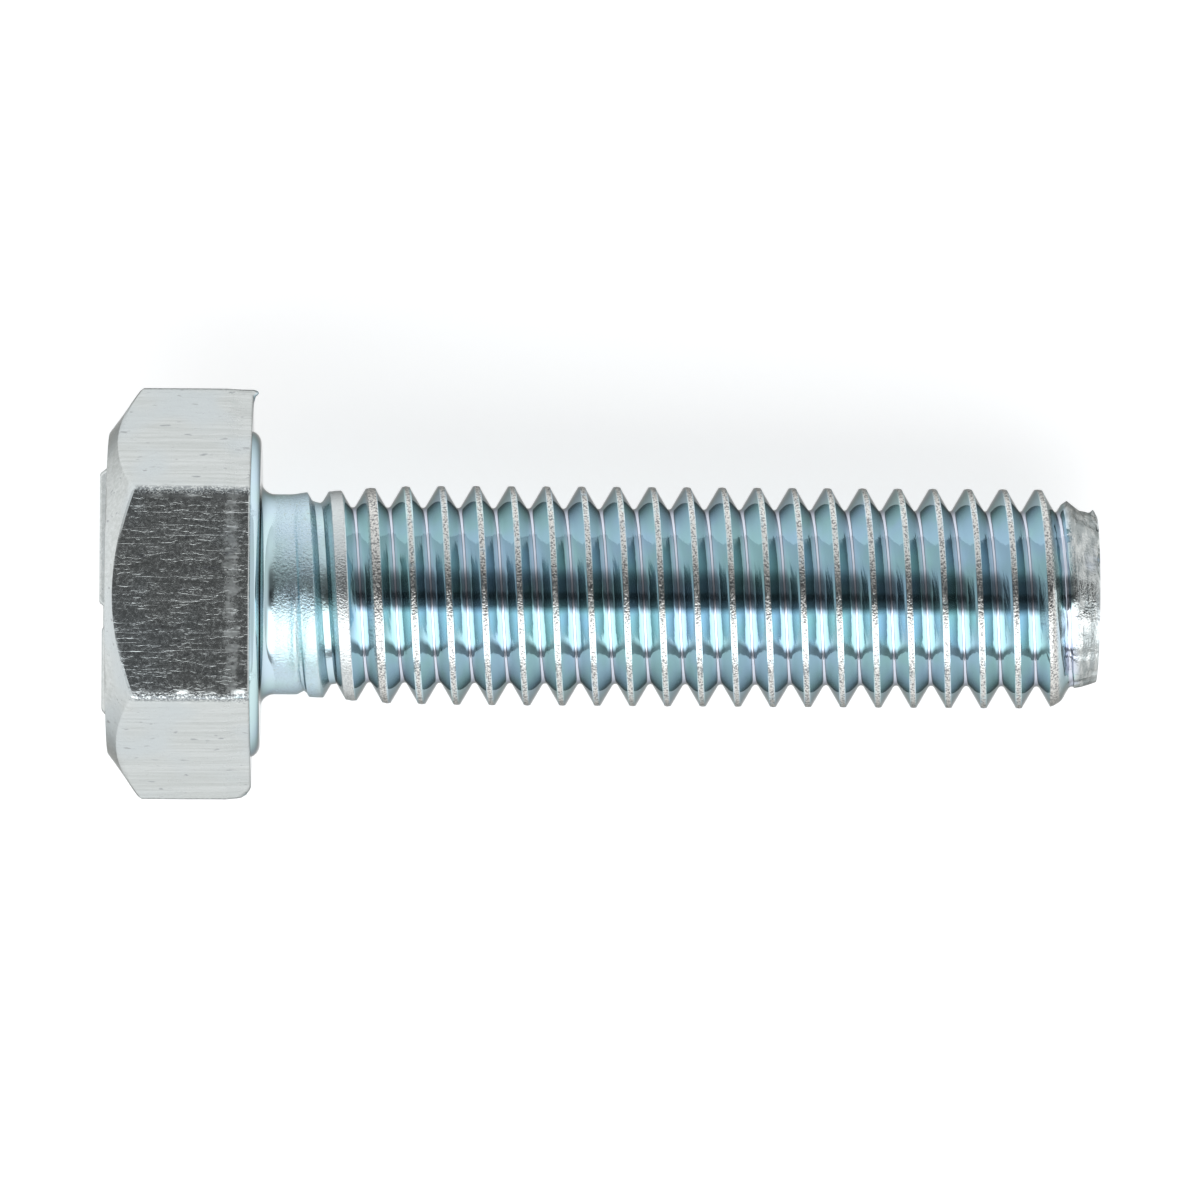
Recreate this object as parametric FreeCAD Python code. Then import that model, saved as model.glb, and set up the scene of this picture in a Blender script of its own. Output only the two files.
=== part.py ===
"""Hexagon head screw, M8 x 1.25 x 30, threaded up to the head, for a 13 mm spanner.

One forged steel piece with a rolled thread. +X runs along the axis from the bearing face
under the head towards the tip, and the origin is the centre of the bearing face.
A wrench flat faces +Z and another -Z, and two corners of the hexagon point along +Y and -Y.
All sizes are in millimetres.
"""
import FreeCAD, Part

import math
import os

from FreeCAD import Placement, Rotation, Vector

# Thread: M8 x 1.25, tolerance class 6g, right hand
PITCH = 1.25
FLANK_ANGLE = 60.0
MAJOR_RADIUS = 3.91
PITCH_RADIUS = 3.54
ROOT_ROUND = 0.12
CREST_AT_PLUS_Y = 0.12      # X of a crest's middle on the +Y side, less whole pitches
CREST_ARC = 45.0            # the crest is made in arcs of this many degrees

# Shank, measured along X from the bearing face
LENGTH = 29.72
NECK_RADIUS = 3.56
NECK_END = 1.05
FIRST_CREST_X = 1.42
FIRST_CREST_RADIUS = 3.65
UNDERHEAD_FILLET = 0.5
FULL_CREST_TURN = 3 + 3 / 8     # turns from CREST_AT_PLUS_Y to where the crest is full
LAST_CREST_TURN = 22 + 3 / 8    # turns to where the tip's chamfer begins
CREST_END_MARGIN = 0.02     # keeps the crest's end planes clear of its arcs' corners
TIP_RADIUS = 3.05
RUN_OUT = ((0.9, 4.2), (1.2, 3.56), (2.0, 3.30), (3.4, 2.95))   # (X, radius) of the groove's fade

# Head
ACROSS_FLATS = 12.8
CORNER_ROUND = 0.45
HEAD_HEIGHT = 5.41          # bearing face to top
WASHER_FACE_HEIGHT = 0.31
WASHER_FACE_RADIUS = 5.80
WASHER_EDGE_ROUND = 0.5
TOP_CIRCLE_RADIUS = 5.69
CHAMFER_ANGLE = 35.4        # between the chamfer and the head's top
CHAMFER_DOME = 0.015        # how far the chamfer bulges from a true cone

# Plain raised bars on top of the head: (low Y, high Y, Z of the middle, height)
MARK_BARS = ((-0.5, 4.4, 2.2, 0.28), (-4.3, -1.1, 2.2, 0.18), (-3.2, 3.2, 0.4, 0.18))
MARK_WIDTH = 0.6
MARK_SUNK = 0.2

X_AXIS = Vector(1, 0, 0)
Z_TO_X = Rotation(Vector(1, 1, 1), 120)     # turns X to Y, Y to Z and Z to X


def sine(degrees):
    return math.sin(math.radians(degrees))


def cosine(degrees):
    return math.cos(math.radians(degrees))


def tangent(degrees):
    return math.tan(math.radians(degrees))


def on_profile(x, radius):
    """A point of a section that is turned about the X axis."""
    return Vector(x, radius, 0)


def line(start, end):
    return Part.LineSegment(start, end).toShape()


def turned(edges, start_degrees=0.0, arc_degrees=360.0):
    """The solid that a closed section in the XY plane sweeps about the X axis."""
    face = Part.Face(Part.Wire(edges))
    face.rotate(Vector(), X_AXIS, start_degrees)
    return face.revolve(Vector(), X_AXIS, arc_degrees)


def turned_polygon(points, start_degrees=0.0, arc_degrees=360.0):
    corners = [on_profile(x, radius) for x, radius in points]
    edges = [line(a, b) for a, b in zip(corners, corners[1:] + corners[:1])]
    return turned(edges, start_degrees, arc_degrees)


# The V's sharp point lies below the rounded root
FLANK_SLOPE = tangent(FLANK_ANGLE / 2)
SHARP_ROOT_RADIUS = PITCH_RADIUS - PITCH / 4 / FLANK_SLOPE
ROOT_RADIUS = SHARP_ROOT_RADIUS + ROOT_ROUND * (1 / sine(FLANK_ANGLE / 2) - 1)
CREST_WIDTH = PITCH / 2 - 2 * (MAJOR_RADIUS - PITCH_RADIUS) * FLANK_SLOPE

# The full crest starts and ends where one of its arcs does
CREST_END = CREST_WIDTH / 2 + CREST_END_MARGIN
FULL_CREST_X = CREST_AT_PLUS_Y + PITCH * FULL_CREST_TURN - CREST_END
LAST_CREST_X = CREST_AT_PLUS_Y + PITCH * LAST_CREST_TURN + CREST_END


def thread_groove():
    """The helical V groove with its rounded root, from inside the neck to past the tip."""
    clear_of_crest = MAJOR_RADIUS + 0.35
    half_width = (clear_of_crest - SHARP_ROOT_RADIUS) * FLANK_SLOPE
    tangent_x = ROOT_ROUND * cosine(FLANK_ANGLE / 2)
    tangent_radius = SHARP_ROOT_RADIUS + tangent_x / FLANK_SLOPE
    left_top = Vector(clear_of_crest, 0, -half_width)
    left_foot = Vector(tangent_radius, 0, -tangent_x)
    right_foot = Vector(tangent_radius, 0, tangent_x)
    right_top = Vector(clear_of_crest, 0, half_width)
    root = Part.Arc(left_foot, Vector(ROOT_RADIUS, 0, 0), right_foot).toShape()
    section = Part.Wire([line(left_top, left_foot), root, line(right_foot, right_top),
                         line(right_top, left_top)])
    groove_start = CREST_AT_PLUS_Y + PITCH / 2
    turns = math.ceil((LENGTH - groove_start) / PITCH) + 1
    helix = Part.makeLongHelix(PITCH, PITCH * turns, PITCH_RADIUS, 0, False)
    groove = Part.Wire(helix.Edges).makePipeShell([section], True, True)
    groove.Placement = Placement(Vector(groove_start, 0, 0), Z_TO_X)
    fade = turned_polygon(((-PITCH, 0), (-PITCH, RUN_OUT[0][1])) + RUN_OUT + ((RUN_OUT[-1][0], 0),))
    return groove.cut(fade)


def neck():
    """The washer face, the fillet under the head, the neck and the first, rising crests."""
    edge_centre = on_profile(-WASHER_EDGE_ROUND,
                             WASHER_FACE_RADIUS - math.sqrt(WASHER_EDGE_ROUND**2
                                                            - (WASHER_EDGE_ROUND
                                                               - WASHER_FACE_HEIGHT)**2))
    half_turn = math.degrees(math.acos(1 - WASHER_FACE_HEIGHT / WASHER_EDGE_ROUND)) / 2
    edge_foot = on_profile(-WASHER_FACE_HEIGHT, WASHER_FACE_RADIUS)
    edge_middle = edge_centre + Vector(cosine(half_turn), sine(half_turn), 0) * WASHER_EDGE_ROUND
    edge_top = on_profile(0, edge_centre.y)
    fillet_top = on_profile(0, NECK_RADIUS + UNDERHEAD_FILLET)
    fillet_middle = on_profile(UNDERHEAD_FILLET * (1 - cosine(45)),
                               NECK_RADIUS + UNDERHEAD_FILLET * (1 - sine(45)))
    fillet_foot = on_profile(UNDERHEAD_FILLET, NECK_RADIUS)
    inside_head = -HEAD_HEIGHT / 2
    shank = [(NECK_END, NECK_RADIUS), (FIRST_CREST_X, FIRST_CREST_RADIUS),
             (FULL_CREST_X, MAJOR_RADIUS), (FULL_CREST_X, 0), (inside_head, 0),
             (inside_head, WASHER_FACE_RADIUS)]
    corners = [fillet_foot] + [on_profile(x, radius) for x, radius in shank] + [edge_foot]
    edges = [line(a, b) for a, b in zip(corners, corners[1:])]
    edges += [Part.Arc(edge_foot, edge_middle, edge_top).toShape(),
              line(edge_top, fillet_top),
              Part.Arc(fillet_top, fillet_middle, fillet_foot).toShape()]
    return turned(edges)


def shank_arcs():
    """The full-diameter shank with its tip chamfer, in the arcs that the crest is made of."""
    section = ((FULL_CREST_X, 0), (FULL_CREST_X, MAJOR_RADIUS), (LAST_CREST_X, MAJOR_RADIUS),
               (LENGTH, TIP_RADIUS), (LENGTH, 0))
    arcs = round(360 / CREST_ARC)
    return [turned_polygon(section, i * CREST_ARC, CREST_ARC) for i in range(arcs)]


def hexagon():
    """The hexagonal block of the head, with rounded corners and a slightly domed chamfer on top."""
    corner_radius = ACROSS_FLATS / 2 / cosine(30)
    block_height = HEAD_HEIGHT - WASHER_FACE_HEIGHT
    corners = [Vector(-HEAD_HEIGHT, corner_radius * cosine(60 * i), corner_radius * sine(60 * i))
               for i in range(6)]
    outline = Part.Face(Part.Wire([line(a, b) for a, b in zip(corners, corners[1:] + corners[:1])]))
    block = outline.extrude(X_AXIS * block_height)
    upright = [e for e in block.Edges if abs(e.tangentAt(e.FirstParameter).x) > 0.9]
    block = block.makeFillet(CORNER_ROUND, upright)
    # The chamfer starts above the head's top, so that the top keeps the block's own flat face
    above = 1.0
    outer_radius = corner_radius + above
    inner = on_profile(-HEAD_HEIGHT - above, TOP_CIRCLE_RADIUS - above / tangent(CHAMFER_ANGLE))
    outer = on_profile(-HEAD_HEIGHT + (outer_radius - TOP_CIRCLE_RADIUS) * tangent(CHAMFER_ANGLE),
                       outer_radius)
    outwards = Vector(-cosine(CHAMFER_ANGLE), sine(CHAMFER_ANGLE), 0)
    middle = (inner + outer) * 0.5 + outwards * CHAMFER_DOME
    corners = [outer, on_profile(0, outer_radius), Vector(), on_profile(inner.x, 0), inner]
    edges = [line(a, b) for a, b in zip(corners, corners[1:])]
    return block.common(turned([Part.Arc(inner, middle, outer).toShape()] + edges))


def mark_bars():
    """Plain raised bars on top of the head, sunk a little into it so that they join it."""
    bars = []
    for low_y, high_y, middle_z, height in MARK_BARS:
        low_corner = Vector(-HEAD_HEIGHT - height, low_y, middle_z - MARK_WIDTH / 2)
        bars.append(Part.makeBox(height + MARK_SUNK, high_y - low_y, MARK_WIDTH, low_corner))
    return bars


def hex_bolt():
    blank = hexagon().multiFuse([neck()] + shank_arcs() + mark_bars())
    return blank.cut(thread_groove())


def main():
    os.makedirs("parts", exist_ok=True)
    shape = hex_bolt()
    solid = shape.Solids[0]
    print("solids", len(shape.Solids), "valid", solid.isValid(), "volume_mm3", round(solid.Volume, 1),
          "box", [round(v, 3) for v in (solid.BoundBox.XMin, solid.BoundBox.XMax,
                                        solid.BoundBox.YMin, solid.BoundBox.YMax,
                                        solid.BoundBox.ZMin, solid.BoundBox.ZMax)])
    print("crest from", round(FULL_CREST_X, 3), "to", round(LAST_CREST_X, 3),
          "root radius", round(ROOT_RADIUS, 3), "crest width", round(CREST_WIDTH, 3))
    solid.exportStep("parts/hex_bolt.step")


main()
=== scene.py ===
"""Looks of the hexagon head bolt: one forged, thread-rolled and zinc-plated piece.

The mesh is one closed skin in columns about the bolt's axis, which is +X. The head's rows run from
the washer face over the bearing side, flats and chamfer to the top, and the thread's rows climb
along its helix to the tip. The head's columns are closer together at the hexagon's corners, and
triangles in the neck join them to the shank's. Sizes are in millimetres until the mesh is
finished, then in metres.
"""
import math

import bmesh
import bpy
import numpy as np
from mathutils import Matrix, Vector, noise


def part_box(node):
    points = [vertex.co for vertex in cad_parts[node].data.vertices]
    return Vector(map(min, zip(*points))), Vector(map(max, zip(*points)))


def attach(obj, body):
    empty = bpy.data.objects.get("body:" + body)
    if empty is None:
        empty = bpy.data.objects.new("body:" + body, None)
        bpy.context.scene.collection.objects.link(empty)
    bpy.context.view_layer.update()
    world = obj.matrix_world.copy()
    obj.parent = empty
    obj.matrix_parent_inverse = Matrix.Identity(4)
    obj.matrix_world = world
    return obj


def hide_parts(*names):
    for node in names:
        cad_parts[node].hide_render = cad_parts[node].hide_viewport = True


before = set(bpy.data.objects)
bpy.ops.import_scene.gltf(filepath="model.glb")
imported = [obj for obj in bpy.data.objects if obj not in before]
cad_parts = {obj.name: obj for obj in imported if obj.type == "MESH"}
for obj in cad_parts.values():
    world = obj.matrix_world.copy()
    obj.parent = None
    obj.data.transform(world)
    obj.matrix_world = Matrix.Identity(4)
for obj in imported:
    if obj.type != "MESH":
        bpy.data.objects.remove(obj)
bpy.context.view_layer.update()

MM = 0.001
NODE = "hex_bolt"

box_low, box_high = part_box(NODE)

# --- sizes of the bolt, in millimetres, with X measured from the bearing face under the head ---
LENGTH = box_high.x / MM
ACROSS_FLATS = (box_high.z - box_low.z) / MM
HEAD_TOP_X = -5.41
WASHER_HEIGHT = 0.31
WASHER_RADIUS = 5.80
WASHER_EDGE_ROUND = 0.5
SIDE_CORNER_ROUND = 0.45    # the corners towards +Y and -Y
CORNER_ROUND = 0.14
HEAD_EDGE_ROUND = 0.10
TRIM_STEP_X = -1.22         # the bearing side of this, the flats fall away a little
TRIM_STEP_DEPTH = 0.055
BURR_HEIGHT = 0.19          # along X, on the bearing side's +Y corner
LOW_CORNER_ROUND = 0.42     # extra rounding of the bearing side's -Y corner
TOP_CIRCLE_RADIUS = 5.69
CHAMFER_SLOPE = math.tan(math.radians(35.4))
CHAMFER_OFFSET = 0.30       # the chamfer's cone is this far off centre, towards +Z
UNDERHEAD_FILLET = 0.5
NECK_RADIUS = 3.56
THREAD_START_X = 0.95

# Plain raised bars on top of the head: (low Y, high Y, Z of the middle, height)
MARK_BARS = ((-0.5, 4.4, 2.2, 0.28), (-4.3, -1.1, 2.2, 0.18), (-3.2, 3.2, 0.4, 0.18))
MARK_WIDTH = 0.6
MARK_ROUND = 0.16

PITCH = 1.25
CREST_AT_PLUS_Y = 0.12
MAJOR_RADIUS = 3.91
PITCH_RADIUS = 3.54
ROOT_ROUND = 0.12
FLANK_SLOPE = math.tan(math.radians(30))
SHARP_ROOT_RADIUS = PITCH_RADIUS - PITCH / 4 / FLANK_SLOPE
ROOT_RADIUS = SHARP_ROOT_RADIUS + ROOT_ROUND
CREST_HALF = PITCH / 4 - (MAJOR_RADIUS - PITCH_RADIUS) * FLANK_SLOPE
CREST_DOME = 0.022          # how much lower a crest's edges are than its middle
ROWS_PER_PITCH = 18
FIRST_TURN, LAST_TURN = -1, 25      # from inside the neck to past the tip
ROW_SNAP = 0.04             # rows this close to the thread's ends are moved onto them

# The first crest's own start on the neck: (X, half width, height) of a low ridge and a groove
SWIRL_RIDGE = (1.24, 0.12, 0.05)
SWIRL_GROOVE = (1.52, 0.10, -0.04)

# The torn end of the thread: X where it begins and where it is full, and a nib near +Y
TORN_FROM, TORN_FULL = 28.3, 28.8
NIB_X, NIB_HALF_WIDTH, NIB_HEIGHT = 29.58, 0.09, 0.14

# (X, radius) of the blank before rolling, which the crests reach, and of the roots' fade-in
CREST_LINE = ((0.95, 3.56), (1.2, 3.57), (1.4, 3.61), (1.6, 3.64), (1.8, 3.65), (2.5, 3.69),
              (3.3, 3.78), (3.9, 3.82), (4.6, 3.87), (6.4, 3.90), (8.0, 3.91), (28.0, 3.91),
              (28.5, 3.66), (28.9, 3.30), (29.05, 3.20), (29.3, 3.13), (29.6, 3.07), (29.68, 3.0),
              (29.72, 2.95))
ROOT_LINE = ((0.95, 3.56), (1.3, 3.56), (1.6, 3.40), (2.0, 3.28), (2.7, 3.17), (3.4, 3.0))

# (X from the tip, radius) of the tip's end face, inside the last point of CREST_LINE
END_FACE = ((0.0, 2.83), (-0.04, 2.3), (-0.02, 1.2), (-0.02, 0.0))


def seeded_noise(x, y, z, seed):
    """Smooth noise from about -1 to 1."""
    return noise.noise(Vector((x + 17.3 * seed, y - 9.1 * seed, z + 5.7 * seed)))


def smooth_step(low, high, values):
    """0 at low, 1 at high, whichever of them is larger."""
    share = np.clip((values - low) / (high - low), 0, 1)
    return share * share * (3 - 2 * share)


# --- columns about the axis ---
def head_angles():
    """Angles about +X, from +Y towards +Z, closer together at the hexagon's corners."""
    half = [0, 0.35, 0.7, 1.05, 1.45, 1.9, 2.5, 3.5, 5.0, 7.0] + list(np.linspace(9.5, 30, 9))
    sector = half + [60 - a for a in half[-2:0:-1]]
    return np.radians([60 * i + a for i in range(6) for a in sector])


HEAD_ANGLES = head_angles()
SHANK_ANGLES = np.linspace(0, 2 * math.pi, 160, endpoint=False)


def hexagon_radius(angle):
    """Distance from the axis to the head's side, whose corners are rounded."""
    corner = round(angle / (math.pi / 3)) % 6
    corner_round = SIDE_CORNER_ROUND if corner % 3 == 0 else CORNER_ROUND
    from_corner = (angle + math.pi / 6) % (math.pi / 3) - math.pi / 6
    arc_centre = (ACROSS_FLATS / 2 - corner_round) / math.cos(math.pi / 6)
    on_flat = ACROSS_FLATS / 2 / math.cos(math.pi / 6 - abs(from_corner))
    tangent = math.atan2(corner_round * 0.5, arc_centre + corner_round * math.cos(math.pi / 6))
    if abs(from_corner) > tangent:
        return on_flat
    side = arc_centre * math.sin(from_corner)
    return arc_centre * math.cos(from_corner) + math.sqrt(corner_round**2 - side**2)


def chamfer_circle(angle, radius):
    """Distance from the axis, at this angle, of a circle about the chamfer's own centre."""
    along = CHAMFER_OFFSET * math.sin(angle)
    across = CHAMFER_OFFSET * math.cos(angle)
    return along + math.sqrt(radius**2 - across**2)


def chamfer_x(angle, radius):
    """X of the chamfer's cone at this distance from the bolt's axis."""
    y, z = radius * math.cos(angle), radius * math.sin(angle) - CHAMFER_OFFSET
    return HEAD_TOP_X + (math.hypot(y, z) - TOP_CIRCLE_RADIUS) * CHAMFER_SLOPE


# --- the head: each function gives rows of (x, radius), one entry for each column ---
def arc_points(centre_x, centre_radius, arc_radius, start, end, count):
    """Points of a section's arc, with angles in degrees from +X towards the outside."""
    turns = np.radians(np.linspace(start, end, count))
    return [(centre_x + arc_radius * math.cos(t), centre_radius + arc_radius * math.sin(t))
            for t in turns]


def neck_section():
    """The turned section from the neck to the washer face's foot, the same all the way round."""
    fillet_centre = NECK_RADIUS + UNDERHEAD_FILLET
    foot_angle = math.degrees(math.acos(1 - WASHER_HEIGHT / WASHER_EDGE_ROUND))
    edge_centre = WASHER_RADIUS - WASHER_EDGE_ROUND * math.sin(math.radians(foot_angle))
    points = [(THREAD_START_X, NECK_RADIUS), (0.85, NECK_RADIUS), (0.7, NECK_RADIUS),
              (0.6, NECK_RADIUS)]
    points += arc_points(UNDERHEAD_FILLET, fillet_centre, UNDERHEAD_FILLET, 270, 180, 8)
    points += [(0.0, fillet_centre + 0.06), (0.0, fillet_centre + 0.5), (0.0, edge_centre - 0.3),
               (0.0, edge_centre - 0.06)]
    points += arc_points(-WASHER_EDGE_ROUND, edge_centre, WASHER_EDGE_ROUND, 0, foot_angle, 6)
    return points


def near_corner(angle, corner_degrees, reach_degrees):
    """1 at a corner's angle, falling smoothly to 0 at reach_degrees from it."""
    away = abs((math.degrees(angle) - corner_degrees + 180) % 360 - 180) / reach_degrees
    return max(0, 1 - away**2) ** 2


def side_radius(angle, x):
    """Radius of the head's sides: the forged, trimmed flats and their uneven corners."""
    radius = hexagon_radius(angle)
    corner = round(angle / (math.pi / 3)) * 60
    if corner % 180:
        uneven = seeded_noise(x * 2.1, corner * 0.37, 0.0, 1) + seeded_noise(x * 5.3, corner, 2.0, 2)
        radius -= (0.03 + 0.05 * uneven) * near_corner(angle, corner % 360, 2.4)
    toward_bearing = min(max((x - TRIM_STEP_X) / 0.5, 0), 1)
    ragged = 0.7 + 0.5 * seeded_noise(angle * 9, x, 1.0, 3)
    radius -= TRIM_STEP_DEPTH * toward_bearing * ragged
    place = (x * 0.5, radius * math.cos(angle) * 0.6, radius * math.sin(angle) * 0.6)
    return radius - 0.012 * (1 + seeded_noise(*place, 4))


def bearing_edge(angle):
    """Where the sides meet the bearing side: (radius of the rounding, height of the burr)."""
    burr = BURR_HEIGHT * near_corner(angle, 0, 3.2)
    rounding = (HEAD_EDGE_ROUND + LOW_CORNER_ROUND * near_corner(angle, 180, 6.0)
                + 0.03 * near_corner(angle, 0, 4.0))
    return rounding * (1 + 0.3 * seeded_noise(angle * 8, 0.0, 0.0, 5)), burr


def bearing_side_rows():
    """From the washer face's foot out to the hexagon's edge, and round that edge."""
    rows = [[] for i in range(9)]
    for a in HEAD_ANGLES:
        edge_round, burr = bearing_edge(a)
        edge_x = -WASHER_HEIGHT - edge_round
        outside = side_radius(a, edge_x)
        edge_start = outside - edge_round
        for i, share in enumerate((0.1, 0.4, 0.75, 0.92)):
            radius = WASHER_RADIUS + share * (edge_start - WASHER_RADIUS)
            rows[i].append((-WASHER_HEIGHT + burr * max(0, share - 0.7) * 2, radius))
        for i, turn in enumerate(np.radians([90, 65, 42, 20, 0])):
            x = edge_x + edge_round * math.sin(turn) + burr * (0.25 + 0.75 * math.sin(turn))
            rows[4 + i].append((x, edge_start + edge_round * math.cos(turn)))
    return rows


def flat_rows():
    """Up the sides of the head to the chamfer's edge."""
    rows = []
    past_chamfer = 0.05
    shares = [0.015] + list(np.linspace(0.04, 0.97, 26)) + [1.0]
    for share in shares:
        row = []
        for a in HEAD_ANGLES:
            edge_round, burr = bearing_edge(a)
            start_x = -WASHER_HEIGHT - edge_round + 0.25 * burr
            end_x = chamfer_x(a, hexagon_radius(a)) + past_chamfer
            x = start_x + share * (end_x - start_x)
            row.append((x, side_radius(a, x)))
        rows.append(row)
    return rows


def chamfer_rows():
    """Over the chamfer to the circle at the edge of the top."""
    rows = []
    for share in (0.05, 0.2, 0.4, 0.6, 0.8, 0.93, 0.985):
        row = []
        for a in HEAD_ANGLES:
            outer = side_radius(a, chamfer_x(a, hexagon_radius(a)))
            inner = chamfer_circle(a, TOP_CIRCLE_RADIUS)
            radius = outer + share * (inner - outer)
            uneven = 0.02 * math.sin(math.pi * share) * (seeded_noise(a * 5, radius, 0.0, 6) - 0.6)
            row.append((chamfer_x(a, radius) - uneven, radius))
        rows.append(row)
    for inset in (0.05, 0.12):
        radius = TOP_CIRCLE_RADIUS - inset
        rows.append([(HEAD_TOP_X, chamfer_circle(a, radius)) for a in HEAD_ANGLES])
    return rows


def mark_loops(low_y, high_y, middle_z, height):
    """Rounded-rectangle loops from a raised bar's foot up its sloping sides to its top."""
    loops = []
    for rise, inset in ((0.0, -0.10), (0.10, -0.03), (0.5, 0.06), (0.88, 0.14), (1.0, 0.20)):
        half_y, half_z = (high_y - low_y) / 2 - inset, MARK_WIDTH / 2 - inset
        corner_round = min(MARK_ROUND, half_z * 0.9)
        loop = []
        for corner_y, corner_z, start in ((1, 1, 0), (-1, 1, 90), (-1, -1, 180), (1, -1, 270)):
            for turn in np.radians([start, start + 30, start + 60, start + 90]):
                y = corner_y * (half_y - corner_round) + corner_round * math.cos(turn)
                z = corner_z * (half_z - corner_round) + corner_round * math.sin(turn)
                loop.append((HEAD_TOP_X - rise * height, (low_y + high_y) / 2 + y, middle_z + z))
        loops.append(loop)
    return loops


# --- the thread ---
def on_line(points, x):
    """Radius at x on a line given as points of (X, radius)."""
    return np.interp(x, [p[0] for p in points], [p[1] for p in points])


def groove_radius(from_crest):
    """Radius of the V groove and its rounded root, by the distance along X from a crest's middle."""
    from_root = PITCH / 2 - np.abs(from_crest)
    tangent = ROOT_ROUND * math.cos(math.radians(30))
    round_part = (SHARP_ROOT_RADIUS + 2 * ROOT_ROUND
                  - np.sqrt(np.maximum(ROOT_ROUND**2 - from_root**2, 0)))
    flank_part = SHARP_ROOT_RADIUS + from_root / FLANK_SLOPE
    return np.where(from_root < tangent, round_part, flank_part)


def thread_radius(x, angle):
    """Radius of the threaded skin at x and angle."""
    phase = (x - CREST_AT_PLUS_Y) / PITCH - angle / (2 * math.pi)
    from_crest = (phase - np.round(phase)) * PITCH
    deep = np.maximum(groove_radius(from_crest), on_line(ROOT_LINE, x))
    domed = CREST_DOME * np.minimum(np.abs(from_crest) / CREST_HALF, 1) ** 2
    domed *= smooth_step(1.9, 3.5, x) * smooth_step(29.4, 28.9, x)
    return np.minimum(deep, on_line(CREST_LINE, x) - domed)


def thread_offsets(crest_radius, root_radius):
    """Distances along X from a crest's middle of the rows in one pitch."""
    crest_half = max(PITCH / 2 - (crest_radius - SHARP_ROOT_RADIUS) * FLANK_SLOPE, 0.05)
    root_half = max(ROOT_ROUND * math.cos(math.radians(30)),
                    (root_radius - SHARP_ROOT_RADIUS) * FLANK_SLOPE)
    root_at = PITCH / 2 - root_half
    half = [0.5 * crest_half, crest_half - 0.025, crest_half + 0.012,
            crest_half + 0.33 * (root_at - crest_half), crest_half + 0.7 * (root_at - crest_half),
            root_at, root_at + 0.45 * root_half, root_at + 0.8 * root_half]
    return [-PITCH / 2] + [-h for h in reversed(half)] + [0.0] + half


def thread_grid():
    """x and radius of the thread's rows, which climb one pitch in each turn about the axis."""
    rows = []
    for turn in range(FIRST_TURN, LAST_TURN):
        block = np.zeros((ROWS_PER_PITCH, len(SHANK_ANGLES)))
        for j, a in enumerate(SHANK_ANGLES):
            middle = CREST_AT_PLUS_Y + PITCH * (turn + a / (2 * math.pi))
            crest_radius = on_line(CREST_LINE, middle)
            root_radius = on_line(ROOT_LINE, middle + PITCH / 2)
            block[:, j] = middle + np.array(thread_offsets(crest_radius, root_radius))
        rows.append(block)
    x = np.sort(np.vstack(rows), axis=0)
    x = np.where(x < THREAD_START_X + ROW_SNAP, THREAD_START_X, x)
    x = np.where(x > LENGTH - ROW_SNAP, LENGTH, x)
    radius = thread_radius(x, SHANK_ANGLES[None, :])
    # the swirl starts in front, at +Z, and fades towards -Y
    degrees = np.degrees(SHANK_ANGLES)[None, :]
    swirl = smooth_step(86, 96, degrees) * smooth_step(165, 120, degrees)
    swirl = swirl * smooth_step(THREAD_START_X, THREAD_START_X + 0.1, x)
    for middle_x, half_width, height in (SWIRL_RIDGE, SWIRL_GROOVE):
        radius += height * swirl * np.exp(-((x - middle_x) / half_width) ** 2)
    return roughened_thread(x, radius)


def roughened_thread(x, radius):
    """Small nicks along the crests, and a torn surface with a nib on the tip's chamfer."""
    crest_line = on_line(CREST_LINE, x)
    crest = smooth_step(crest_line - 0.015, crest_line - 0.005, radius) * smooth_step(1.9, 2.4, x)
    torn = smooth_step(TORN_FROM, TORN_FULL, x)
    inside = (x > THREAD_START_X + 0.05) & (x < LENGTH)
    for i, j in zip(*np.nonzero(inside & ((crest > 0.01) | (torn > 0.01)))):
        a = SHANK_ANGLES[j]
        y, z = radius[i, j] * math.cos(a), radius[i, j] * math.sin(a)
        fine = seeded_noise(x[i, j] * 5, y * 5, z * 5, 7)
        coarse = seeded_noise(x[i, j] * 1.6, y * 1.6, z * 1.6, 8)
        drop = 0.010 * crest[i, j] * (0.6 + fine)
        drop += torn[i, j] * (0.03 * (0.5 + fine) + 0.10 * (0.3 + coarse))
        nib = math.exp(-((x[i, j] - NIB_X) / NIB_HALF_WIDTH) ** 2)
        radius[i, j] += NIB_HEIGHT * near_corner(a, 5, 9) * nib - max(drop, 0)
        if crest[i, j] > 0.5 and not torn[i, j]:
            x[i, j] += 0.012 * seeded_noise(x[i, j] * 4, y * 4, z * 4, 9)
    return x, radius


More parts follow.
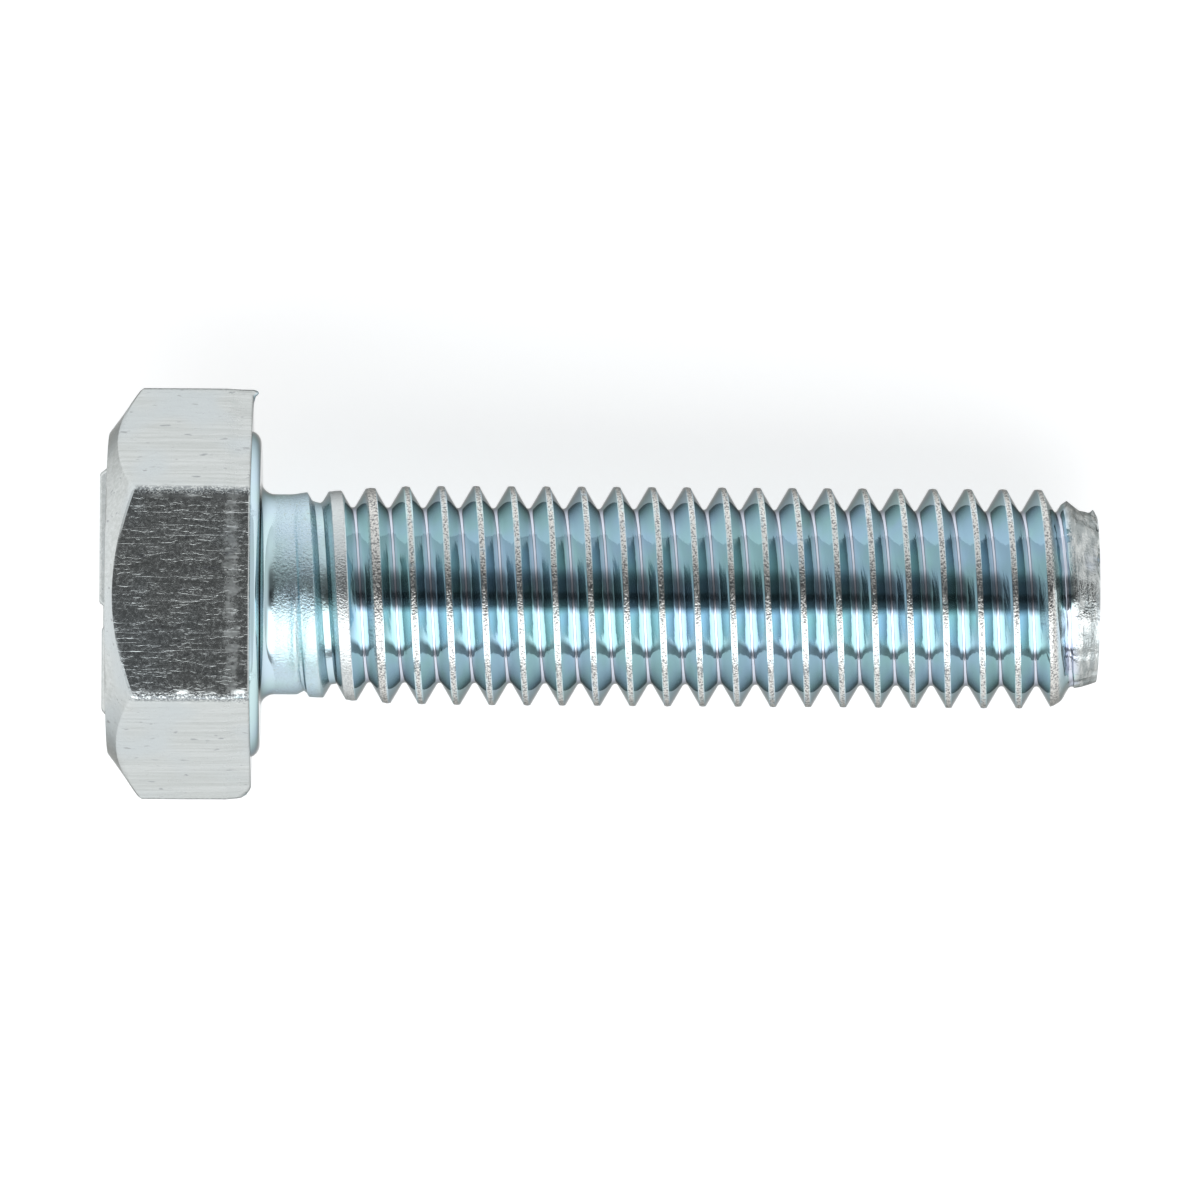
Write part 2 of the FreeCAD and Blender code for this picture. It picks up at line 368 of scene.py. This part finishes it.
# --- building the skin ---
class Skin:
    """Rows of points about the axis, joined by faces into one mesh."""

    def __init__(self):
        self.points = []
        self.faces = []

    def add_row(self, row, angles):
        """A closed ring of (x, radius), one for each angle. Returns its first point's index."""
        first = len(self.points)
        for a, (x, radius) in zip(angles, row):
            self.points.append((x, radius * math.cos(a), radius * math.sin(a)))
        return first

    def join(self, low, high, count):
        for j in range(count):
            k = (j + 1) % count
            self.faces.append((low + j, low + k, high + k, high + j))

    def add_rings(self, rows, angles):
        firsts = [self.add_row(row, angles) for row in rows]
        for low, high in zip(firsts, firsts[1:]):
            self.join(low, high, len(angles))
        return firsts

    def add_loops(self, loops):
        """Closed loops of points, joined one to the next. Returns the first point of each."""
        firsts = []
        for loop in loops:
            firsts.append(len(self.points))
            self.points += loop
        for low, high in zip(firsts, firsts[1:]):
            self.join(low, high, len(loops[0]))
        return firsts

    def stitch(self, first_a, angles_a, first_b, angles_b):
        """Triangles between two closed rings that have different numbers of points."""
        count_a, count_b = len(angles_a), len(angles_b)
        i = j = 0
        while i < count_a or j < count_b:
            next_a = angles_a[i + 1] if i + 1 < count_a else 2 * math.pi
            next_b = angles_b[j + 1] if j + 1 < count_b else 2 * math.pi
            a, b = first_a + i % count_a, first_b + j % count_b
            if j >= count_b or (i < count_a and next_a <= next_b):
                i += 1
                self.faces.append((a, first_a + i % count_a, b))
            else:
                j += 1
                self.faces.append((a, first_b + j % count_b, b))

    def add_helix(self, x, radius):
        """The thread's rows, where each row goes on as the one a pitch further after a turn."""
        first = len(self.points)
        columns = len(SHANK_ANGLES)
        for i in range(len(x)):
            self.add_row(zip(x[i], radius[i]), SHANK_ANGLES)
        total = len(x)
        for i in range(total - 1):
            for j in range(columns):
                corners = []
                for row, column in ((i, j), (i, j + 1), (i + 1, j + 1), (i + 1, j)):
                    if column == columns:
                        row, column = row + ROWS_PER_PITCH, 0
                    if row >= total:
                        break
                    corners.append(first + row * columns + column)
                if len(corners) == 4:
                    self.faces.append(tuple(corners))


NECK_ROWS = 4       # the neck's rows in the shank's columns, before the fillet's in the head's


def bolt_mesh():
    skin = Skin()
    neck = neck_section()
    shank = [[point] * len(SHANK_ANGLES) for point in reversed(neck[:NECK_ROWS])]
    shank_rings = skin.add_rings(shank, SHANK_ANGLES)
    head = [[point] * len(HEAD_ANGLES) for point in neck[NECK_ROWS:]]
    head += bearing_side_rows() + flat_rows() + chamfer_rows()
    head_rings = skin.add_rings(head, HEAD_ANGLES)
    skin.stitch(shank_rings[0], SHANK_ANGLES, head_rings[0], HEAD_ANGLES)
    for bar in MARK_BARS:
        skin.add_loops(mark_loops(*bar))
    skin.add_helix(*thread_grid())
    end_rings = ((0.0, CREST_LINE[-1][1]),) + END_FACE
    tip = [[(LENGTH + dx, radius)] * len(SHANK_ANGLES) for dx, radius in end_rings]
    skin.add_rings(tip, SHANK_ANGLES)
    mesh = bmesh.new()
    verts = [mesh.verts.new(p) for p in skin.points]
    for face in skin.faces:
        if len({tuple(verts[i].co) for i in face}) > 2:
            mesh.faces.new([verts[i] for i in face])
    bmesh.ops.remove_doubles(mesh, verts=mesh.verts, dist=1e-5)
    bmesh.ops.dissolve_degenerate(mesh, edges=mesh.edges, dist=1e-6)
    close_ends(mesh)
    bmesh.ops.recalc_face_normals(mesh, faces=mesh.faces)
    return mesh


def close_ends(mesh):
    """Closes the top of the head between and on the raised bars."""
    open_edges = [e for e in mesh.edges if e.is_boundary]
    rings = [[e for e in open_edges if abs(e.verts[0].co.x - HEAD_TOP_X) < 1e-4]]
    for height in {bar[3] for bar in MARK_BARS}:
        rings.append([e for e in open_edges if abs(e.verts[0].co.x - HEAD_TOP_X + height) < 1e-4])
    for ring in rings:
        bmesh.ops.triangle_fill(mesh, edges=ring, use_beauty=True)


def mark_zones(data):
    """Stores how much each point belongs to each kind of surface, for the material."""
    places = np.array([v.co for v in data.vertices]) / MM
    x, radius = places[:, 0], np.hypot(places[:, 1], places[:, 2])
    crest_line = on_line(CREST_LINE, x)
    wide = smooth_step(5.0, 3.8, x) + smooth_step(27.7, 28.0, x)
    crest_low = crest_line - CREST_DOME - 0.014 * wide
    crest = smooth_step(1.9, 2.6, x) * smooth_step(crest_low, crest_low + 0.012, radius)
    deep = smooth_step(1.3, 1.5, x) * smooth_step(ROOT_RADIUS + 0.35, ROOT_RADIUS + 0.1, radius)
    root = smooth_step(1.3, 1.5, x) * smooth_step(ROOT_RADIUS + 0.05, ROOT_RADIUS + 0.015, radius)
    torn = smooth_step(28.3, 28.7, x) * smooth_step(crest_line - 0.16, crest_line - 0.1, radius)
    end = x > LENGTH - 0.05
    crest, root, torn = crest * ~end, root * ~end, torn * ~end
    angles = np.arctan2(places[:, 2], places[:, 1])
    across = radius * np.cos((angles % (math.pi / 3)) - math.pi / 6)
    trimmed = smooth_step(ACROSS_FLATS / 2 - 0.16, ACROSS_FLATS / 2 - 0.1, across)
    flat = np.maximum(trimmed * (x < -0.03), (x < -1.3) | end)
    from_corner = np.abs((angles + math.pi / 6) % (math.pi / 3) - math.pi / 6)
    edge = (x < -0.1) * (x > -4.3) * smooth_step(2.0, 0.5, np.degrees(from_corner))
    zones = {"flat": flat, "crest": np.maximum(crest, torn), "root": root * (1 - torn), "torn": torn,
             "deep": deep * (1 - torn), "edge": edge}
    for name, values in zones.items():
        data.attributes.new(name, "FLOAT", "POINT").data.foreach_set("value", values)


def make_bolt():
    mesh = bolt_mesh()
    data = bpy.data.meshes.new("bolt")
    for v in mesh.verts:
        v.co = Vector(min(max(c * MM, low), high) for c, low, high in zip(v.co, box_low, box_high))
    mesh.to_mesh(data)
    mesh.free()
    data.shade_smooth()
    data.set_sharp_from_angle(angle=math.radians(26))
    mark_zones(data)
    bolt = bpy.data.objects.new("bolt", data)
    bpy.context.scene.collection.objects.link(bolt)
    weighted = bolt.modifiers.new("shading", "WEIGHTED_NORMAL")
    weighted.weight = 100
    weighted.keep_sharp = True
    return bolt


# --- material ---
class Nodes:
    """Short forms for the shader nodes that a material is made of."""

    def __init__(self, tree):
        self.tree = tree

    def add(self, kind, **settings):
        node = self.tree.nodes.new(kind)
        for name, value in settings.items():
            setattr(node, name, value)
        return node

    def put(self, value, socket):
        if isinstance(value, bpy.types.NodeSocket):
            self.tree.links.new(value, socket)
        elif isinstance(value, tuple) and len(value) == 3 and len(socket.default_value) == 4:
            socket.default_value = (*value, 1)
        else:
            socket.default_value = value

    def math(self, operation, *values, clamp=False):
        node = self.add("ShaderNodeMath", operation=operation, use_clamp=clamp)
        for value, socket in zip(values, node.inputs):
            self.put(value, socket)
        return node.outputs[0]

    def mix(self, share, low, high, blend="MIX"):
        node = self.add("ShaderNodeMix", data_type="RGBA", blend_type=blend)
        self.put(share, node.inputs[0])
        self.put(low, node.inputs[6])
        self.put(high, node.inputs[7])
        return node.outputs[2]

    def blend(self, share, low, high):
        """Goes from the number low to the number high."""
        node = self.add("ShaderNodeMix", data_type="FLOAT")
        for value, socket in zip((share, low, high), (node.inputs[0], node.inputs[2], node.inputs[3])):
            self.put(value, socket)
        return node.outputs[0]

    def spread(self, value, low, high, to_low=0.0, to_high=1.0):
        node = self.add("ShaderNodeMapRange", interpolation_type="SMOOTHSTEP")
        for v, socket in zip((value, low, high, to_low, to_high), node.inputs):
            self.put(v, socket)
        return node.outputs[0]

    def stretched(self, vector, scales):
        node = self.add("ShaderNodeVectorMath", operation="MULTIPLY")
        self.put(vector, node.inputs[0])
        node.inputs[1].default_value = scales
        return node.outputs[0]

    def noise(self, vector, scale=1.0, detail=2.0, roughness=0.5):
        node = self.add("ShaderNodeTexNoise")
        self.put(vector, node.inputs["Vector"])
        node.inputs["Scale"].default_value = scale
        node.inputs["Detail"].default_value = detail
        node.inputs["Roughness"].default_value = roughness
        return node.outputs["Fac"]

    def bump(self, height, strength, distance, normal=None):
        node = self.add("ShaderNodeBump")
        self.put(height, node.inputs["Height"])
        self.put(strength, node.inputs["Strength"])
        node.inputs["Distance"].default_value = distance
        if normal is not None:
            self.put(normal, node.inputs["Normal"])
        return node.outputs[0]


# The passivate's film, the drawn and trimmed flats, the worn crests, the torn tip, and the roots'
# lilac tint with a painted highlight
FILM_GREEN, FILM_BLUE, FILM_SPECK = (0.56, 0.73, 0.75), (0.58, 0.72, 0.81), (0.52, 0.64, 0.67)
DRAWN_DARK, DRAWN_LIGHT, DRAWN_BLUE = (0.585, 0.61, 0.60), (0.675, 0.70, 0.695), (0.62, 0.66, 0.67)
DRAWN_PIT, EDGE_SPECK = (0.44, 0.46, 0.47), (0.28, 0.30, 0.31)
WORN_DARK, WORN_LIGHT, WORN_AT_START = (0.30, 0.30, 0.30), (0.74, 0.73, 0.70), (0.66, 0.70, 0.71)
TORN_DARK, TORN_LIGHT, ROOT_LILAC_AND_HIGHLIGHT = (0.36, 0.39, 0.39), (0.60, 0.62, 0.61), (0.68, 0.72, 0.82)
GRAZING_TINT = (0.30, 0.30, 0.29)

FILM_ROUGHNESS, DULL_ROUGHNESS, TORN_ROUGHNESS = 0.06, 0.20, 0.17
BAND_X = -0.95              # middle of the duller band on the flats, beside the bearing side


def zinc_plate():
    """Bright zinc with a thin blue-green passivate, over a drawn, trimmed and rolled surface."""
    material = bpy.data.materials.new("zinc_plate")
    material.use_nodes = True
    n = Nodes(material.node_tree)
    shader = material.node_tree.nodes["Principled BSDF"]
    place = n.stretched(n.add("ShaderNodeTexCoord").outputs["Object"], (1000, 1000, 1000))
    flat, crest, root, torn, deep, edge = (
        n.add("ShaderNodeAttribute", attribute_name=name).outputs["Fac"]
        for name in ("flat", "crest", "root", "torn", "deep", "edge"))
    x = n.add("ShaderNodeSeparateXYZ")
    n.put(place, x.inputs[0])
    x = x.outputs[0]
    neck = n.math("MULTIPLY", n.spread(x, 0.35, 0.6), n.spread(x, 2.6, 1.9))

    # colour: neutral on the trimmed flats and worn crests, blue-green where the passivate is thick
    drift = n.noise(place, 0.55, 2.0)
    film = n.mix(n.spread(drift, 0.35, 0.65), FILM_GREEN, FILM_BLUE)
    streak = n.noise(n.stretched(place, (0.18, 6.0, 6.0)), 1.0, 3.0)
    drawn = n.mix(n.spread(streak, 0.3, 0.7), DRAWN_DARK, DRAWN_LIGHT)
    tinge = n.noise(place, 0.4, 1.0)
    drawn = n.mix(n.spread(tinge, 0.45, 0.7), drawn, DRAWN_BLUE)
    pit = n.noise(n.stretched(place, (1.8, 3.8, 3.8)), 1.0, 2.0)
    drawn = n.mix(n.spread(pit, 0.66, 0.73), drawn, DRAWN_PIT)
    grain = n.noise(place, 13.0, 2.0)
    worn = n.mix(n.spread(grain, 0.38, 0.54), WORN_DARK, WORN_LIGHT)
    worn = n.mix(n.spread(x, 4.2, 2.4), worn, WORN_AT_START)
    strips = n.noise(n.stretched(place, (5.0, 1.0, 1.0)), 1.0, 3.0)
    cut = n.mix(n.spread(strips, 0.40, 0.60), TORN_DARK, TORN_LIGHT)
    specks = n.spread(n.noise(place, 10.0, 2.0), 0.58, 0.68)
    film = n.mix(n.math("MULTIPLY", neck, specks), film, FILM_SPECK)
    drawn = n.mix(n.math("MULTIPLY", edge, n.spread(grain, 0.40, 0.55)), drawn, EDGE_SPECK)
    colour = n.mix(flat, film, drawn)
    colour = n.mix(crest, colour, worn)
    colour = n.mix(torn, colour, cut)
    # the roots: partly the film's lilac tint, partly a painted highlight for the light their rounding
    # reflects
    colour = n.mix(root, colour, ROOT_LILAC_AND_HIGHLIGHT)
    n.put(colour, shader.inputs["Base Color"])

    # gloss: smooth rolled flanks, speckled flats, crests and neck, and a duller band on the flats
    speckle = n.noise(place, 8.0, 3.0, 0.6)
    dull = n.math("MAXIMUM", flat, n.math("MAXIMUM", crest, neck))
    rough = n.blend(dull, FILM_ROUGHNESS, DULL_ROUGHNESS)
    rough = n.blend(torn, rough, TORN_ROUGHNESS)
    ragged = n.noise(n.stretched(place, (1.0, 2.5, 2.5)), 1.0, 3.0, 0.7)
    from_band = n.math("ADD", n.math("ABSOLUTE", n.math("ADD", x, -BAND_X)),
                       n.math("MULTIPLY_ADD", ragged, 0.5, -0.25))
    band = n.math("MULTIPLY", n.spread(from_band, 0.36, 0.08), flat)
    rough = n.blend(band, rough, n.spread(ragged, 0.35, 0.65, 0.36, 0.24))
    rough = n.math("ADD", rough, n.math("MULTIPLY", dull, n.spread(speckle, 0.4, 0.7, -0.02, 0.08)))
    n.put(rough, shader.inputs["Roughness"])

    # relief: streaks, nicks and frost on the flats, pits on the neck, grain on crests and edges,
    # gouges on the tip, and lines rolled along the roots
    long_streaks = n.noise(n.stretched(place, (0.35, 6.0, 6.0)), 1.0, 2.0, 0.5)
    nicks = n.noise(n.stretched(place, (1.7, 6.5, 6.5)), 1.0, 3.0, 0.6)
    on_flats = n.math("ADD", n.spread(nicks, 0.53, 0.66),
                      n.math("MULTIPLY", n.spread(long_streaks, 0.62, 0.68), 0.6))
    normal = n.bump(on_flats, n.math("MULTIPLY", flat, 0.32), 0.010 * MM)
    frost = n.noise(place, 9.0, 3.0, 0.7)
    normal = n.bump(frost, n.math("MULTIPLY", flat, 0.34), 0.012 * MM, normal)
    pits = n.noise(place, 11.0, 3.0, 0.65)
    normal = n.bump(pits, n.math("MULTIPLY", neck, 0.9), 0.028 * MM, normal)
    sparkle = n.noise(place, 13.0, 2.0, 0.6)
    sparkling = n.math("MAXIMUM", n.math("MULTIPLY", crest, 0.8), edge)
    normal = n.bump(sparkle, sparkling, 0.032 * MM, normal)
    gouges = n.noise(n.stretched(place, (6.0, 1.6, 1.6)), 1.0, 2.0, 0.6)
    normal = n.bump(gouges, torn, 0.06 * MM, normal)
    rolled = n.noise(n.stretched(place, (12.0, 0.7, 0.7)), 1.0, 2.0, 0.5)
    normal = n.bump(rolled, n.math("MULTIPLY", deep, 0.5), 0.006 * MM, normal)
    n.put(normal, shader.inputs["Normal"])
    shader.inputs["Metallic"].default_value = 1.0
    shader.inputs["Specular Tint"].default_value = (*GRAZING_TINT, 1)
    return material


# --- stage ---
def placed(place, target, right=(1, 0, 0), roll_degrees=0.0):
    """The matrix of a camera or light at place that looks at target, with right to its right."""
    back = (Vector(place) - Vector(target)).normalized()
    up = back.cross(Vector(right)).normalized()
    across = up.cross(back)
    turn = Matrix((across, up, back)).transposed().to_4x4()
    return Matrix.Translation(place) @ turn @ Matrix.Rotation(math.radians(roll_degrees), 4, "Z")


def add_camera():
    """Straight above the bolt, on the wrench flat's side, at a long lens's distance."""
    data = bpy.data.cameras.new("camera")
    distance, seen_width = 435 * MM, 42.7 * MM
    data.lens = data.sensor_width * distance / seen_width
    data.clip_start, data.clip_end = 0.01, 10
    camera = bpy.data.objects.new("camera", data)
    bpy.context.scene.collection.objects.link(camera)
    camera.matrix_world = placed((6.3 * MM, -0.13 * MM, distance), (12.06 * MM, -0.13 * MM, 0),
                                 roll_degrees=0.36)
    bpy.context.scene.camera = camera
    return camera


LAST_CREST_X = 28.1


def add_floor():
    """The pale table that the bolt lies on, touching the head's lower flat and the tip."""
    mesh = bpy.data.meshes.new("floor")
    size = 3.0
    mesh.from_pydata([(-size, -size, 0), (size, -size, 0), (size, size, 0), (-size, size, 0)],
                     [], [(0, 1, 2, 3)])
    floor = bpy.data.objects.new("floor", mesh)
    bpy.context.scene.collection.objects.link(floor)
    head_low = Vector((-WASHER_HEIGHT, 0, -ACROSS_FLATS / 2)) * MM
    tip_low = Vector((LAST_CREST_X, 0, -MAJOR_RADIUS)) * MM
    tilt = -math.atan2(tip_low.z - head_low.z, tip_low.x - head_low.x)
    floor.matrix_world = Matrix.Translation(head_low) @ Matrix.Rotation(tilt, 4, "Y")
    material = bpy.data.materials.new("table")
    material.use_nodes = True
    shader = material.node_tree.nodes["Principled BSDF"]
    shader.inputs["Base Color"].default_value = (0.5, 0.5, 0.5, 1)
    shader.inputs["Roughness"].default_value = 0.9
    shader.inputs["Specular IOR Level"].default_value = 0.0
    shader.inputs["Emission Color"].default_value = (1, 1, 1, 1)
    shader.inputs["Emission Strength"].default_value = 0.68
    mesh.materials.append(material)
    return floor


# Brightness of the studio by the angle about the X axis, from straight up towards +Y, in degrees
STUDIO = ((-180, 0.5), (-95, 0.5), (-90, 0.4), (-80, 0.35), (-71, 2.3), (-24, 2.3), (-14, 0.3),
          (-8, 0.15), (-3, 0.05), (3, 0.05), (7, 0.13), (21, 0.16), (29, 0.3), (40, 0.75),
          (60, 0.92), (92, 0.85), (100, 0.5), (180, 0.5))
END_BRIGHTNESS = 0.75       # beyond the bolt's two ends
SKY_COLOUR = (0.96, 0.985, 1.0)


def add_world():
    """Soft light from both sides, and a dark gap above where the camera is."""
    world = bpy.data.worlds.new("studio")
    world.use_nodes = True
    n = Nodes(world.node_tree)
    direction = n.add("ShaderNodeSeparateXYZ")
    n.put(n.add("ShaderNodeTexCoord").outputs["Generated"], direction.inputs[0])
    x, y, z = direction.outputs
    turn = n.math("ARCTAN2", y, z)
    share = n.math("MULTIPLY_ADD", turn, 0.5 / math.pi, 0.5)
    ramp = n.add("ShaderNodeFloatCurve")
    n.put(share, ramp.inputs["Value"])
    curve = ramp.mapping.curves[0]
    peak = max(value for angle, value in STUDIO)
    points = [((angle + 180) / 360, value / peak) for angle, value in STUDIO]
    curve.points[0].location, curve.points[-1].location = points[0], points[-1]
    for point in points[1:-1]:
        curve.points.new(*point)
    for point in curve.points:
        point.handle_type = "VECTOR"
    ramp.mapping.update()
    by_angle = n.math("MULTIPLY", ramp.outputs[0], peak)
    near_ends = n.spread(n.math("ABSOLUTE", x), 0.5, 0.9)
    strength = n.blend(near_ends, by_angle, END_BRIGHTNESS)
    background = world.node_tree.nodes["Background"]
    background.inputs["Color"].default_value = (*SKY_COLOUR, 1)
    n.put(strength, background.inputs["Strength"])
    bpy.context.scene.world = world


add_world()
add_camera()
add_floor()
bolt = make_bolt()
bolt.data.materials.append(zinc_plate())
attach(bolt, "root")
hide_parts(NODE)

bpy.context.scene.view_settings.view_transform = "Standard"
